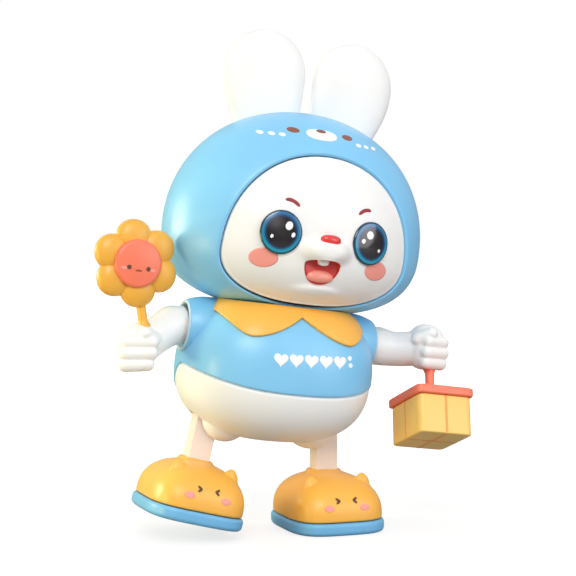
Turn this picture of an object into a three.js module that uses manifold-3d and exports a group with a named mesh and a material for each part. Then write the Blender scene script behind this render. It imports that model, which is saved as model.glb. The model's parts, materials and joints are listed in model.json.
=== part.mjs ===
// Walking rabbit toy: a big hooded head on a round body, swinging arms that hold a flower wand and a
// gift box, and two legs that rock on fore-and-aft hip pins. Millimetres, +Z up, the toy faces -Y.
import * as THREE from "three";
import { mergeVertices } from "three/addons/utils/BufferGeometryUtils.js";
import Module from "manifold-3d";

const wasm = await Module();
wasm.setup();

// ---- driving dimensions, in the upright frame of the figure: x = 0 is its middle ----
const GAP = 0.3; // between neighbouring pieces
const LEAN = THREE.MathUtils.degToRad(7.0); // the toy stands on its left foot, leaning towards +X

const WALL = 2.2; // moulded shells
const HEAD = { rx: 58, ry: 44.5, up: 54.5, down: 32.5, plan: 2, power: 2.1, lowPower: 2.6, z: 127 };
const HEAD_SHIFT = 1.7; // the head sits this much towards +X on its neck
const HOOD_SEAM_Y = 6;
const FACE = { half: 41.1, up: 42.2, down: 20.8, z: 119, topPower: 2.08, power: 2.3 };
const FACE_SET_BACK = 0.8;
const EYE = { x: 20, y: -41.4, z: 127, r: 8.4, turn: 13 };
const NOSE = { rx: 4.4, ry: 2.2, rz: 2.2, y: -45.6, z: 126 };
const EAR = {
  x: 20.6, baseX: 16.5, y: 1.5,
  base: 168, wide: 196, top: 215.4,
  half: 18.6, baseHalf: 12.4, thick: 4.8,
};

const TORSO = { rx: 42, ry: 36, up: 32, down: 30, power: 2.5, z: 68 };
const TORSO_TOP = 93.5;
const HEM = { side: 68, front: 60.5, back: 54, flatFrom: 22 };
const COLLAR = { lobe: 22.3, low: 83, high: 98, inner: 29, outer: 16, bend: 1.65, thick: 2.6 };
const NECK = { r: 13, bore: 9, bottom: 87, top: 106 };

const SHOULDER_Z = 84;
const SLEEVE = { bore: 9.4, from: 32, to: 43.4 };
const ARM_R = 8.6;
const SHAFT_R = 4;

const HIP = { x: 25.5, y: 2, z: 62 };
const LEG = { w: 9.6, d: 9, length: 60 }; // from the hip pin to the underside of the sole
const LEG_SPLAY = LEAN; // each leg stands this much outwards of straight
const SHOE = { half: 21.6, deep: 25.8, y: -2, sole: 5.4, top: 24.6, power: 3.6 };

const CELL = { r: 7.2, length: 50 };
const CELL_Y = 17;
const CELL_Z = [64.2, 79.6];
const DOOR = { half: 29, low: 57.4, high: 88 };
const CHASSIS = { front: -8, back: -6 };
const CAM = { z: 51, r: 5, offset: 1.5 };

// ---- geometry helpers ----
const v3 = (x, y, z) => new THREE.Vector3(x, y, z);

function solid(geometry) {
  const flat = geometry.index ? geometry.toNonIndexed() : geometry;
  const bare = new THREE.BufferGeometry().setAttribute("position", flat.getAttribute("position"));
  const merged = mergeVertices(bare, 1e-3);
  return new wasm.Manifold(
    new wasm.Mesh({
      numProp: 3,
      vertProperties: new Float32Array(merged.attributes.position.array),
      triVerts: new Uint32Array(merged.index.array),
    }),
  );
}

// A closed skin through a list of rings of points, with flat ends.
function loft(rings) {
  const n = rings[0].length;
  const middle = (ring) => ring.reduce((sum, p) => sum.add(p), v3(0, 0, 0)).divideScalar(n);
  const corners = [];
  const first = middle(rings[0]);
  const last = middle(rings[rings.length - 1]);
  for (let i = 0; i < n; i++) {
    const j = (i + 1) % n;
    corners.push(first, rings[0][j], rings[0][i]);
    for (let k = 0; k + 1 < rings.length; k++) {
      corners.push(rings[k][i], rings[k][j], rings[k + 1][j]);
      corners.push(rings[k][i], rings[k + 1][j], rings[k + 1][i]);
    }
    corners.push(last, rings[rings.length - 1][i], rings[rings.length - 1][j]);
  }
  const made = solid(new THREE.BufferGeometry().setFromPoints(corners));
  return made.volume() < 0 ? solid(new THREE.BufferGeometry().setFromPoints(corners.reverse())) : made;
}

// A level outline with superellipse corners.
function outline(rx, ry, z, x = 0, y = 0, power = 2.4, count = 32) {
  return Array.from({ length: count }, (_, i) => {
    const a = (i / count) * 2 * Math.PI;
    const k = (Math.abs(Math.cos(a)) ** power + Math.abs(Math.sin(a)) ** power) ** (-1 / power);
    return v3(x + rx * k * Math.cos(a), y + ry * k * Math.sin(a), z);
  });
}

// A rounded body whose upper and lower halves may differ in height.
function blob(shape, around = 24, rows = 14) {
  const { rx, ry, up, down, power = 2, plan = power, lowPower = power, x = 0, y = 0, z = 0 } = shape;
  const g = new THREE.SphereGeometry(1, around, rows).rotateX(Math.PI / 2);
  const at = g.getAttribute("position");
  for (let i = 0; i < at.count; i++) {
    const p = v3().fromBufferAttribute(at, i);
    const n = p.z > 0 ? power : lowPower;
    const level = (Math.abs(p.x) ** plan + Math.abs(p.y) ** plan) ** (1 / plan);
    p.multiplyScalar((level ** n + Math.abs(p.z) ** n) ** (-1 / n));
    at.setXYZ(i, x + p.x * rx, y + p.y * ry, z + p.z * (p.z > 0 ? up : down));
  }
  return solid(g);
}

const grown = (shape, by) => ({
  ...shape,
  rx: shape.rx + by,
  ry: shape.ry + by,
  up: shape.up + by,
  down: shape.down + by,
});

const box = (x0, x1, y0, y1, z0, z1) =>
  solid(new THREE.BoxGeometry(x1 - x0, y1 - y0, z1 - z0)
    .translate((x0 + x1) / 2, (y0 + y1) / 2, (z0 + z1) / 2));

// A round bar between two points.
function bar(r, from, to, sides = 16, r2 = r) {
  const length = from.distanceTo(to);
  const g = new THREE.CylinderGeometry(r2, r, length, sides).translate(0, length / 2, 0);
  g.applyQuaternion(new THREE.Quaternion().setFromUnitVectors(v3(0, 1, 0), to.clone().sub(from).normalize()));
  return solid(g.translate(from.x, from.y, from.z));
}

// A turned piece: profile pairs are (radius, distance along the axis), from axis to axis.
function turned(profile, axis, at, sides = 20) {
  const g = new THREE.LatheGeometry(profile.map(([r, h]) => new THREE.Vector2(r, h)), sides);
  g.applyQuaternion(new THREE.Quaternion().setFromUnitVectors(v3(0, 1, 0), axis.clone().normalize()));
  return solid(g.translate(at.x, at.y, at.z));
}

// A round limb along a smooth curve, with a radius at each of its points.
function limb(points, radii, rows = 6, sides = 14) {
  const curve = new THREE.CatmullRomCurve3(points);
  const spread = new THREE.CatmullRomCurve3(radii.map((r, i) => v3(r, i, 0)));
  const frames = curve.computeFrenetFrames(rows);
  return loft(
    Array.from({ length: rows + 1 }, (_, k) => {
      const r = spread.getPoint(k / rows).x;
      return Array.from({ length: sides }, (_, i) => {
        const a = (i / sides) * 2 * Math.PI;
        return curve
          .getPointAt(k / rows)
          .addScaledVector(frames.normals[k], r * Math.cos(a))
          .addScaledVector(frames.binormals[k], r * Math.sin(a));
      });
    }),
  );
}

// A flat outline in x and z, carried along y.
function plate(points, y0, y1) {
  const shape = new THREE.Shape(points.map(([x, z]) => new THREE.Vector2(x, z)));
  const g = new THREE.ExtrudeGeometry(shape, { depth: y1 - y0, bevelEnabled: false });
  return solid(g.rotateX(Math.PI / 2).translate(0, y1, 0));
}

// ---- materials ----
const paint = (color, roughness = 0.4, metalness = 0) =>
  new THREE.MeshStandardMaterial({ color, roughness, metalness });
const BLUE = paint(0x86c8f0);
const WHITE = paint(0xf2f1ec);
const ORANGE = paint(0xfdb846);
const SOLE_BLUE = paint(0x6fb3df, 0.55);
const YELLOW = paint(0xfdd272);
const CORAL = paint(0xf98768);
const DARK = paint(0x2a1f22, 0.2);
const RED = paint(0xe2463f, 0.3);
const GREY = paint(0x6d7075, 0.6);
const STEEL = paint(0xb9bcc0, 0.35, 0.9);
const GREEN = paint(0x1f6b45, 0.5);
const CELL_SKIN = paint(0x3a3f47, 0.35, 0.2);
const SPEAKER = paint(0x25262a, 0.7);

// ---- the figure: a leaning group that holds the head's group and a splayed group for each leg ----
const toy = new THREE.Group();
const figure = new THREE.Group();
figure.rotation.y = LEAN;
toy.add(figure);
const head = new THREE.Group();
head.position.x = HEAD_SHIFT;
figure.add(head);
const legs = {};
for (const [side, s] of [["left", 1], ["right", -1]]) {
  legs[side] = new THREE.Group();
  legs[side].position.set(s * HIP.x, HIP.y, HIP.z);
  legs[side].rotation.y = -s * LEG_SPLAY;
  figure.add(legs[side]);
}

function add(name, made, material, group = figure) {
  const m = made.getMesh();
  const g = new THREE.BufferGeometry();
  const xyz = new Float32Array(m.numVert * 3);
  for (let i = 0; i < m.numVert; i++) {
    xyz.set(m.vertProperties.subarray(i * m.numProp, i * m.numProp + 3), i * 3);
  }
  g.setAttribute("position", new THREE.BufferAttribute(xyz, 3));
  g.setIndex(new THREE.BufferAttribute(new Uint32Array(m.triVerts), 1));
  g.computeVertexNormals();
  const mesh = new THREE.Mesh(g, material);
  mesh.name = name;
  group.add(mesh);
}

// A cross-head screw whose head sits at `at`, its shank pointing along `axis`.
function screw(name, at, axis, length, group = figure) {
  const made = turned([[0, 0], [2.3, 0], [2.3, 1.4], [1.2, 1.6], [1.2, length], [0, length]], axis, at, 8);
  const flat = v3(0, 0, 1).cross(axis).lengthSq() > 0.1 ? v3(0, 0, 1) : v3(0, 1, 0);
  const other = flat.clone().cross(axis).normalize();
  const slot = (along) => {
    const reach = along.clone().multiplyScalar(1.6);
    const step = axis.clone().multiplyScalar(0.3);
    return bar(0.35, at.clone().add(step).sub(reach), at.clone().add(step).add(reach), 4);
  };
  add(name, made.subtract(slot(flat)).subtract(slot(other)), STEEL, group);
}

// ---- head ----
const headOuter = blob(HEAD, 30, 16);
const headInner = blob(grown(HEAD, -WALL), 16, 10);
const headClear = blob(grown(HEAD, GAP), 30, 16);
const faceOutline = (by) =>
  Array.from({ length: 28 }, (_, i) => {
    const a = (i / 28) * 2 * Math.PI;
    const p = Math.sin(a) > 0 ? FACE.topPower : FACE.power;
    const k = (Math.abs(Math.cos(a)) ** p + Math.abs(Math.sin(a)) ** p) ** (-1 / p);
    const tall = Math.sin(a) > 0 ? FACE.up : FACE.down;
    return [(FACE.half + by) * k * Math.cos(a), FACE.z + (tall + by) * k * Math.sin(a)];
  });
const eyeAt = (s) => v3(s * EYE.x, EYE.y, EYE.z);
const eyeAxis = (s) => v3(s * Math.sin((EYE.turn * Math.PI) / 180), -Math.cos((EYE.turn * Math.PI) / 180), 0);
const neckHole = bar(NECK.r + 0.4, v3(-HEAD_SHIFT, 0, 80), v3(-HEAD_SHIFT, 0, 110), 28);
const earPeg = (s, by) =>
  box(s * EAR.baseX - 5 - by, s * EAR.baseX + 5 + by, EAR.y - 2 - by, EAR.y + 2 + by, EAR.base - by, 182);

// Screw posts run fore and aft inside the rim of the hood.
const HOOD_POSTS = [[50, 132, 17], [-50, 132, 17], [38, 160, 15], [-38, 160, 15]];
const postHole = bar(1.5, v3(0, -4, 0), v3(0, 60, 0), 12);
let hood = headOuter.subtract(headInner);
for (const [x, z] of HOOD_POSTS) {
  hood = hood.add(bar(4.6, v3(x, -6, z), v3(x, 40, z), 16).intersect(headOuter));
}
for (const [x, z, y] of HOOD_POSTS) {
  hood = hood.subtract(postHole.translate(x, 0, z)).subtract(bar(2.8, v3(x, y - 1.7, z), v3(x, 60, z), 16));
}
hood = hood.subtract(neckHole).subtract(plate(faceOutline(0), -70, -12));
for (const s of [1, -1]) hood = hood.subtract(earPeg(s, GAP));
add("hood_front", hood.intersect(box(-70, 70, -70, HOOD_SEAM_Y - GAP / 2, 80, 200)), BLUE, head);
add("hood_back", hood.intersect(box(-70, 70, HOOD_SEAM_Y + GAP / 2, 70, 80, 200)), BLUE, head);
HOOD_POSTS.forEach(([x, z, y], i) => screw("hood_screw_" + (i + 1), v3(x, y, z), v3(0, -1, 0), 19, head));

const faceOuter = blob(grown(HEAD, -FACE_SET_BACK), 30, 16)
  .add(blob({ rx: 17, ry: 9, up: 10, down: 13, y: -38.6, z: 117 }, 16, 10));
let face = faceOuter
  .subtract(blob(grown(HEAD, -FACE_SET_BACK - WALL - 0.2), 16, 10))
  .intersect(plate(faceOutline(-GAP), -70, -14));
for (const s of [1, -1]) {
  const axis = eyeAxis(s);
  const dome = [[0, -1.5], [EYE.r, -1.5], [EYE.r, 0.2], [EYE.r * 0.6, 0.9], [0, 1.2]];
  const eye = turned(dome, axis, eyeAt(s), 24);
  const seat = eyeAt(s).addScaledVector(axis, -1.8);
  face = face.subtract(bar(EYE.r + GAP, seat, eyeAt(s).addScaledVector(axis, 8), 24));
  const back = eyeAt(s).addScaledVector(axis, -4);
  face = face.add(
    bar(EYE.r + 1.6, back, seat, 24).intersect(blob(grown(HEAD, -FACE_SET_BACK - 0.2), 30, 16)),
  );
  add(s > 0 ? "eye_left" : "eye_right", eye, DARK, head);
}
const noseShape = { rx: NOSE.rx, ry: NOSE.ry, up: NOSE.rz, down: NOSE.rz, y: NOSE.y, z: NOSE.z };
add("face_plate", face.subtract(blob(grown(noseShape, GAP), 14, 8)), WHITE, head);
add("nose", blob(noseShape, 14, 8), RED, head);

for (const s of [1, -1]) {
  const rings = [];
  for (let k = 0; k <= 10; k++) {
    const rise = Math.min(k / 5, 1);
    const cap = Math.sin(Math.max(k - 5, 0) * 0.306);
    const z = EAR.base + (EAR.wide - EAR.base) * rise + (EAR.top - EAR.wide) * cap;
    const grow = Math.sin((rise * Math.PI) / 2);
    const round = Math.sqrt(1 - cap ** 2);
    const half = (EAR.baseHalf + (EAR.half - EAR.baseHalf) * grow) * round;
    const x = EAR.baseX + (EAR.x - EAR.baseX) * grow;
    rings.push(outline(half, EAR.thick * Math.sqrt(round), z, s * x, EAR.y, 2, 16));
  }
  const ear = loft(rings).subtract(headClear).add(earPeg(s, 0));
  add(s > 0 ? "ear_left" : "ear_right", ear, WHITE, head);
}

// ---- neck and speaker ----
add("neck_tube", turned([
  [NECK.bore, NECK.bottom], [NECK.r, NECK.bottom], [NECK.r, 88.9], [20, 88.9], [20, 90.9], [NECK.r, 90.9],
  [NECK.r, 104], [19, 104], [19, NECK.top], [NECK.bore, NECK.top], [NECK.bore, NECK.bottom],
], v3(0, 0, 1), v3(0, 0, 0)), GREY);
add("speaker", turned([
  [0, 106.3], [8, 106.3], [8, 109], [17, 110.5], [17, 113], [14, 113], [0, 111.4],
], v3(0, 0, 1), v3(0, 0, 0)), SPEAKER);

// ---- torso shells ----
const torsoOuter = blob(TORSO, 26, 14);
const torsoInner = blob(grown(TORSO, -WALL), 16, 10);
const torsoClear = blob(grown(TORSO, GAP), 26, 14);
const torsoRoom = blob(grown(TORSO, -WALL - GAP), 16, 10);
const hemAt = (y) => {
  if (y < 0) return HEM.side - (HEM.side - HEM.front) * (y / TORSO.ry) ** 2;
  return HEM.side - (HEM.side - HEM.back) * THREE.MathUtils.smoothstep(y, 0, HEM.flatFrom);
};
const hemSide = [];
for (let i = 0; i <= 16; i++) hemSide.push([-40 + 5 * i, hemAt(THREE.MathUtils.clamp(-40 + 5 * i, -36, 36))]);
// Everything above the hem, carried across the body; the profile lies in y and z.
function aboveHem(by) {
  const shape = hemSide.map(([y, z]) => new THREE.Vector2(y, z + by));
  shape.push(new THREE.Vector2(40, 120), new THREE.Vector2(-40, 120));
  const g = new THREE.ExtrudeGeometry(new THREE.Shape(shape), { depth: 120, bevelEnabled: false });
  g.applyMatrix4(new THREE.Matrix4().makeBasis(v3(0, 1, 0), v3(0, 0, 1), v3(1, 0, 0)));
  return solid(g.translate(-60, 0, 0));
}
const shell = torsoOuter.subtract(torsoInner);
const doorCut = (by) => box(-DOOR.half - by, DOOR.half + by, 12, 60, DOOR.low - by, DOOR.high + by);
const shaftHole = bar(SHAFT_R + 0.5, v3(-60, 0, SHOULDER_Z), v3(60, 0, SHOULDER_Z), 20);
add("shirt_shell", shell
  .intersect(aboveHem(GAP / 2))
  .subtract(box(-60, 60, -60, 60, TORSO_TOP, 120))
  .subtract(doorCut(GAP))
  .subtract(shaftHole), BLUE);

const across = (a, b) => [Math.min(a, b), Math.max(a, b)];
const legSlot = (s) => box(...across(s * 19.4, s * 36), HIP.y - 5.4, HIP.y + 5.4, 20, 60);
const SWITCH = { z: 48, travel: 3 };
const switchSlot = box(-5.2, 5.2, 20, 40, SWITCH.z - 2.2, SWITCH.z + 2.2);
const BELLY_SCREW = [[0, -20], [0, 14]];
let belly = shell.subtract(aboveHem(-GAP / 2)).subtract(switchSlot);
for (const [x, y] of BELLY_SCREW) belly = belly.subtract(bar(1.6, v3(x, y, 30), v3(x, y, 60), 12));
for (const s of [1, -1]) belly = belly.subtract(legSlot(s));
add("belly_shell", belly, WHITE);

const door = shell.intersect(doorCut(0)).intersect(box(-60, 60, 0, 60, 0, 120));
const DOOR_SCREW_Z = 61.5;
const doorScrewY = 32;
add("battery_door", door
  .add(bar(4, v3(0, 28.5, DOOR_SCREW_Z), v3(0, 35.6, DOOR_SCREW_Z), 16).intersect(torsoOuter))
  .subtract(bar(1.5, v3(0, 20, DOOR_SCREW_Z), v3(0, 50, DOOR_SCREW_Z), 12))
  .subtract(bar(2.7, v3(0, doorScrewY - 1.7, DOOR_SCREW_Z), v3(0, 50, DOOR_SCREW_Z), 16)), BLUE);
screw("door_screw", v3(0, doorScrewY, DOOR_SCREW_Z), v3(0, -1, 0), 6);

// ---- collar: two rounded lobes in front, a plain band behind ----
const lobeLow = (x) => {
  const d = Math.abs(x) - COLLAR.lobe;
  const t = Math.min(Math.abs(d) / (d < 0 ? COLLAR.inner : COLLAR.outer), 1);
  return COLLAR.high - (COLLAR.high - COLLAR.low) * (1 - t ** COLLAR.bend);
};
const lobes = [];
for (let i = 0; i <= 24; i++) lobes.push([-36 + 3 * i, lobeLow(-36 + 3 * i)]);
lobes.push([36, 120], [-36, 120]);
const collarZone = plate(lobes, -60, 0.5).add(box(-60, 60, 0.4, 60, 91, 120));
const collarSkin = blob(grown(TORSO, COLLAR.thick + GAP), 24, 12).subtract(torsoClear);
add("collar", collarSkin
  .intersect(collarZone)
  .subtract(headClear.translate(HEAD_SHIFT, 0, 0))
  .subtract(bar(NECK.r + 8, v3(0, 0, 90), v3(0, 0, 120), 28)), ORANGE);

// ---- sleeves, arms and what the hands hold ----
for (const s of [1, -1]) {
  const side = s > 0 ? "left" : "right";
  const sleeve = turned([
    [SLEEVE.bore, SLEEVE.from], [13.2, SLEEVE.from], [12.9, 37], [12, 40.5], [10.7, SLEEVE.to],
    [SLEEVE.bore, SLEEVE.to], [SLEEVE.bore, SLEEVE.from],
  ], v3(s, 0, 0), v3(0, 0, SHOULDER_Z));
  add("sleeve_" + side, sleeve.subtract(torsoClear).subtract(collarZone.translate(0, 0, -0.5)), BLUE);
  add("arm_stop_" + side, turned([
    [1.5, 28], [5.2, 28], [5.2, 30], [1.5, 30], [1.5, 28],
  ], v3(s, 0, 0), v3(0, 0, SHOULDER_Z), 20), GREY);
  screw("arm_screw_" + side, v3(s * 26.2, 0, SHOULDER_Z), v3(s, 0, 0), 10);
}
const armShaft = (s) =>
  bar(SHAFT_R, v3(s * 30.3, 0, SHOULDER_Z), v3(s * 44, 0, SHOULDER_Z), 20)
    .subtract(bar(1.5, v3(s * 29, 0, SHOULDER_Z), v3(s * 37, 0, SHOULDER_Z), 12));

const fist = (rx, at) =>
  blob({ rx, ry: 9.6, up: 10.6, down: 10.7, power: 2.3, x: at.x, y: at.y, z: at.z }, 14, 8);
const FIST_R = v3(-64.5, -10, 73);
const FLOWER = v3(-70, -12, 107.6);
const stemDown = v3(-58.8, -11.5, 66);
const armRight = limb(
  [v3(-42.9, 0, 84), v3(-48, -0.4, 83.4), v3(-55.4, -4.6, 78.6), v3(-62, -8.6, 73.4)],
  [ARM_R - 0.4, ARM_R, 7.6, 7.6],
).add(fist(8.8, FIST_R));
const stem = (by) => bar(2 + by, stemDown.clone().add(v3(0, 0, -by)), FLOWER.clone().add(v3(2.4, 1.5, -9)), 16);
add("arm_right", armRight.subtract(stem(GAP)).add(armShaft(-1)), WHITE);

const petals = [101, 41, -19, -79, -139, 161].map((degrees) => {
  const a = THREE.MathUtils.degToRad(degrees);
  const reach = 10.8;
  const at = v3(FLOWER.x + reach * Math.cos(a), FLOWER.y, FLOWER.z + reach * Math.sin(a));
  return blob({ rx: 7.6, ry: 4, up: 7.6, down: 7.6, x: at.x, y: at.y, z: at.z }, 12, 6);
});
const DISC_BACK = FLOWER.y - 2.2;
let wand = petals.reduce((sum, petal) => sum.add(petal));
wand = wand.add(bar(9, v3(FLOWER.x, FLOWER.y - 2, FLOWER.z), v3(FLOWER.x, FLOWER.y + 2.5, FLOWER.z), 24));
wand = wand
  .subtract(bar(10.2 + GAP, v3(FLOWER.x, FLOWER.y - 12, FLOWER.z), v3(FLOWER.x, DISC_BACK, FLOWER.z), 28))
  .add(stem(0));
add("flower_wand", wand, ORANGE);
add("flower_disc", turned([
  [0, 0.3], [10.2, 0.3], [10.2, 2.4], [8.6, 3.8], [4, 4.4], [0, 4.5],
], v3(0, -1, 0), v3(FLOWER.x, DISC_BACK, FLOWER.z), 28), CORAL);

const FIST_L = v3(66.5, -12, 86);
const ROD_TILT = 19.5; // the box hangs forwards of plumb by this many degrees
const rodTop = v3(FIST_L.x + 1, FIST_L.y, FIST_L.z);
const hang = (made) => made.rotate([-ROD_TILT, 0, 0]).translate(rodTop.x, rodTop.y, rodTop.z);
const BOX = { w: 24.8, d: 30, h: 16.8, lid: 3.6, drop: 21.8 };
const rodShape = (by) => turned([
  [0, -BOX.drop], [4 + by, -BOX.drop], [2 + by, -BOX.drop + 3.4], [2 + by, 1 + by], [0, 1 + by],
], v3(0, 0, 1), v3(0, 0, 0), 20);
const rounded = (w, d, z0, z1, edge) => loft([
  outline(w / 2 - edge, d / 2 - edge, z0, 0, 0, 7, 24),
  outline(w / 2, d / 2, z0 + edge, 0, 0, 7, 24),
  outline(w / 2, d / 2, z1 - edge, 0, 0, 7, 24),
  outline(w / 2 - edge, d / 2 - edge, z1, 0, 0, 7, 24),
]);
const lidTop = -BOX.drop;
const armLeft = limb(
  [v3(42.9, 0, 84), v3(48, -0.4, 84), v3(55.4, -4, 83.6), v3(63, -9, 85)],
  [ARM_R - 0.4, ARM_R, 7.6, 8],
).add(fist(9, FIST_L));
add("arm_left", armLeft.subtract(hang(rodShape(GAP))).add(armShaft(1)), WHITE);
const lid = rounded(BOX.w + 2.4, BOX.d + 2.4, lidTop - BOX.lid, lidTop + 0.2, 0.8);
const boxTop = lidTop - BOX.lid - GAP;
add("gift_lid", hang(lid.add(rodShape(0))), CORAL);
add("gift_box", hang(rounded(BOX.w, BOX.d, boxTop - BOX.h, boxTop, 0.8)), YELLOW);

// ---- inside the body: chassis, drive, hip pins, cells ----
const hipPinHole = (s, r) => bar(r, v3(s * HIP.x, -12, HIP.z), v3(s * HIP.x, 12, HIP.z), 20);
let chassis = torsoRoom.intersect(box(-36, 36, CHASSIS.front, CHASSIS.back, 45, 88.2));
chassis = chassis.subtract(bar(3.4, v3(0, -12, CAM.z), v3(0, 0, CAM.z), 20));
for (const s of [1, -1]) {
  chassis = chassis.subtract(hipPinHole(s, 2.3));
  add(s > 0 ? "hip_pin_left" : "hip_pin_right", turned([
    [0, -10], [3.4, -10], [3.4, -8.3], [2, -8.3], [2, 7.2], [0, 7.2],
  ], v3(0, 1, 0), v3(s * HIP.x, 0, HIP.z), 20), STEEL);
}
add("chassis_plate", chassis.subtract(bar(NECK.r + 1, v3(0, 0, 86), v3(0, 0, 100), 24)), GREY);
add("gear_case", rounded(24, 13.4, 46.5, 69.6, 1).translate(0, -15.2, 0), GREY);
add("motor", turned([
  [0, 69.9], [2.5, 69.9], [2.5, 71], [7.4, 71], [7.4, 86], [2, 86], [2, 87], [0, 87],
], v3(0, 0, 1), v3(0, -15.6, 0), 24), STEEL);
const camShaft = bar(2, v3(0, -8.2, CAM.z), v3(0, 6.6, CAM.z), 20);
const camDisc = bar(CAM.r, v3(CAM.offset, -2.4, CAM.z), v3(CAM.offset, 5.6, CAM.z), 28);
add("cam_shaft", camShaft.add(camDisc), WHITE);
add("circuit_board", box(-30, -9.4, -10.2, -8.6, 70, 86), GREEN);

const cellRoom = (z, by) => bar(CELL.r + by, v3(-26.8, CELL_Y, z), v3(26.8, CELL_Y, z), 24);
let tray = torsoRoom.intersect(box(-28.6, 28.6, 7.7, 31, 56.4, 88.4));
for (const z of CELL_Z) tray = tray.subtract(cellRoom(z, 0.45));
tray = tray.subtract(box(-26.8, 26.8, CELL_Y, 60, CELL_Z[0] - 7.65, CELL_Z[1] + 7.65));
tray = tray.subtract(box(-5, 5, 20, 40, 50, 66)).subtract(bar(NECK.r + 0.5, v3(0, 0, 86.6), v3(0, 0, 100), 24));
for (const s of [1, -1]) {
  const pocket = across(s * 25.4, s * 26.8);
  tray = tray.subtract(box(...pocket, CELL_Y - 4.4, 40, CELL_Z[0] - 5.4, CELL_Z[1] + 5.4));
}
add("battery_tray", tray, GREY);
CELL_Z.forEach((z, i) => {
  const s = i ? -1 : 1;
  add("cell_" + (i + 1), turned([
    [0, -25], [CELL.r - 0.6, -25], [CELL.r, -24.4], [CELL.r, 23], [CELL.r - 0.6, 23.6],
    [2.7, 23.8], [2.7, 25.2], [0, 25.2],
  ], v3(s, 0, 0), v3(0, CELL_Y, z), 24), CELL_SKIN);
});
for (const s of [1, -1]) {
  const strip = box(...across(s * 25.9, s * 26.4), CELL_Y - 4, CELL_Y + 4, CELL_Z[0] - 5, CELL_Z[1] + 5);
  add(s > 0 ? "contact_left" : "contact_right", strip, STEEL);
}

// ---- power switch ----
add("switch_body", box(-7, 7, 14, 19.8, SWITCH.z - 2.4, SWITCH.z + 2.4), GREY);
add("switch_knob", box(-1.5, 1.5, 20.1, 29.6, SWITCH.z - 1.8, SWITCH.z + 1.8)
  .add(box(-2.4, 2.4, 29.5, 31.4, SWITCH.z - 1.8, SWITCH.z + 1.8))
  .translate(-SWITCH.travel / 2, 0, 0), DARK);

// ---- hips, legs and shoes ----
for (const s of [1, -1]) {
  const side = s > 0 ? "left" : "right";
  const cover = { rx: 10.6, ry: 12.4, up: 12, down: 10.4, power: 2.2, x: s * 20.4, y: 0, z: 46.2 };
  add("hip_cover_" + side, blob(cover, 16, 10)
    .subtract(blob(grown(cover, -1.8), 12, 6))
    .subtract(torsoClear)
    .subtract(legSlot(s)), WHITE);

  // The leg hangs from its pin; an inward tail rides over the cam. Local origin: the pin.
  const low = -LEG.length + SHOE.sole;
  const shank = box(-LEG.w / 2, LEG.w / 2, -LEG.d / 2, LEG.d / 2, low + GAP, 0);
  const eye = bar(6.4, v3(0, -LEG.d / 2, 0), v3(0, LEG.d / 2, 0), 24);
  const tail = box(...across(-s * 21, 0), -LEG.d / 2 + 1, LEG.d / 2 - 1, -2.6, 2.6);
  add("leg_" + side, shank
    .add(eye)
    .add(tail.rotate([0, s * THREE.MathUtils.radToDeg(LEG_SPLAY), 0]))
    .subtract(bar(2.35, v3(0, -9, 0), v3(0, 9, 0), 20))
    .subtract(bar(1.4, v3(0, 0, low - 1), v3(0, 0, low + 9), 12)), WHITE, legs[side]);

  const bottom = -LEG.length;
  const upperShape = {
    rx: SHOE.half - 0.8, ry: SHOE.deep - 0.9, up: SHOE.top - SHOE.sole - GAP - 2, down: 9,
    power: 2.25, plan: SHOE.power, y: SHOE.y - HIP.y, z: bottom + SHOE.sole + GAP + 2,
  };
  let upper = blob(upperShape, 22, 12);
  for (const e of [1, -1]) {
    const ear = { rx: 4, ry: 2.3, up: 4, down: 5, x: e * 11.2, y: -14.4 - HIP.y, z: bottom + 21.2 };
    upper = upper.add(blob(ear, 10, 6));
  }
  upper = upper
    .add(loft([outline(7.6, 7.1, bottom + 20, 0, 0, 3.4, 24), outline(7, 6.5, bottom + 25.4, 0, 0, 3.4, 24)]))
    .subtract(blob(grown(upperShape, -2), 12, 8))
    .subtract(box(-40, 40, -40, 40, bottom - 20, bottom + SHOE.sole + GAP))
    .subtract(box(-LEG.w / 2 - GAP, LEG.w / 2 + GAP, -LEG.d / 2 - GAP, LEG.d / 2 + GAP, bottom, 0));
  add("shoe_" + side, upper, ORANGE, legs[side]);

  const soleRing = (inset, z) =>
    outline(SHOE.half - inset, SHOE.deep - inset, bottom + z, 0, SHOE.y - HIP.y, SHOE.power, 28);
  const screwHole = bar(3, v3(0, 0, bottom - 2), v3(0, 0, bottom + 2.6), 16)
    .add(bar(1.5, v3(0, 0, bottom - 2), v3(0, 0, bottom + 8), 12));
  const sole = loft([soleRing(1.3, 0), soleRing(0.2, 1.3), soleRing(0, 2.6), soleRing(0.3, 4.4), soleRing(1, SHOE.sole)]);
  add("sole_" + side, sole.subtract(screwHole), SOLE_BLUE, legs[side]);
  screw("sole_screw_" + side, v3(0, 0, bottom + 1), v3(0, 0, 1), 11, legs[side]);
}

// ---- stand the left sole on the floor and centre the plan on the origin ----
toy.updateMatrixWorld(true);
const bounds = new THREE.Box3().setFromObject(toy, true);
const middle = bounds.getCenter(v3());
toy.position.set(-middle.x, -middle.y, -bounds.min.z);
toy.updateMatrixWorld(true);

export default toy;
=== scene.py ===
"""Walking rabbit toy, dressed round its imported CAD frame.

Every shape is written in millimetres, in the upright frame of the figure or of one leg, and is placed from
the hip pins.
"""
import math

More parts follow.
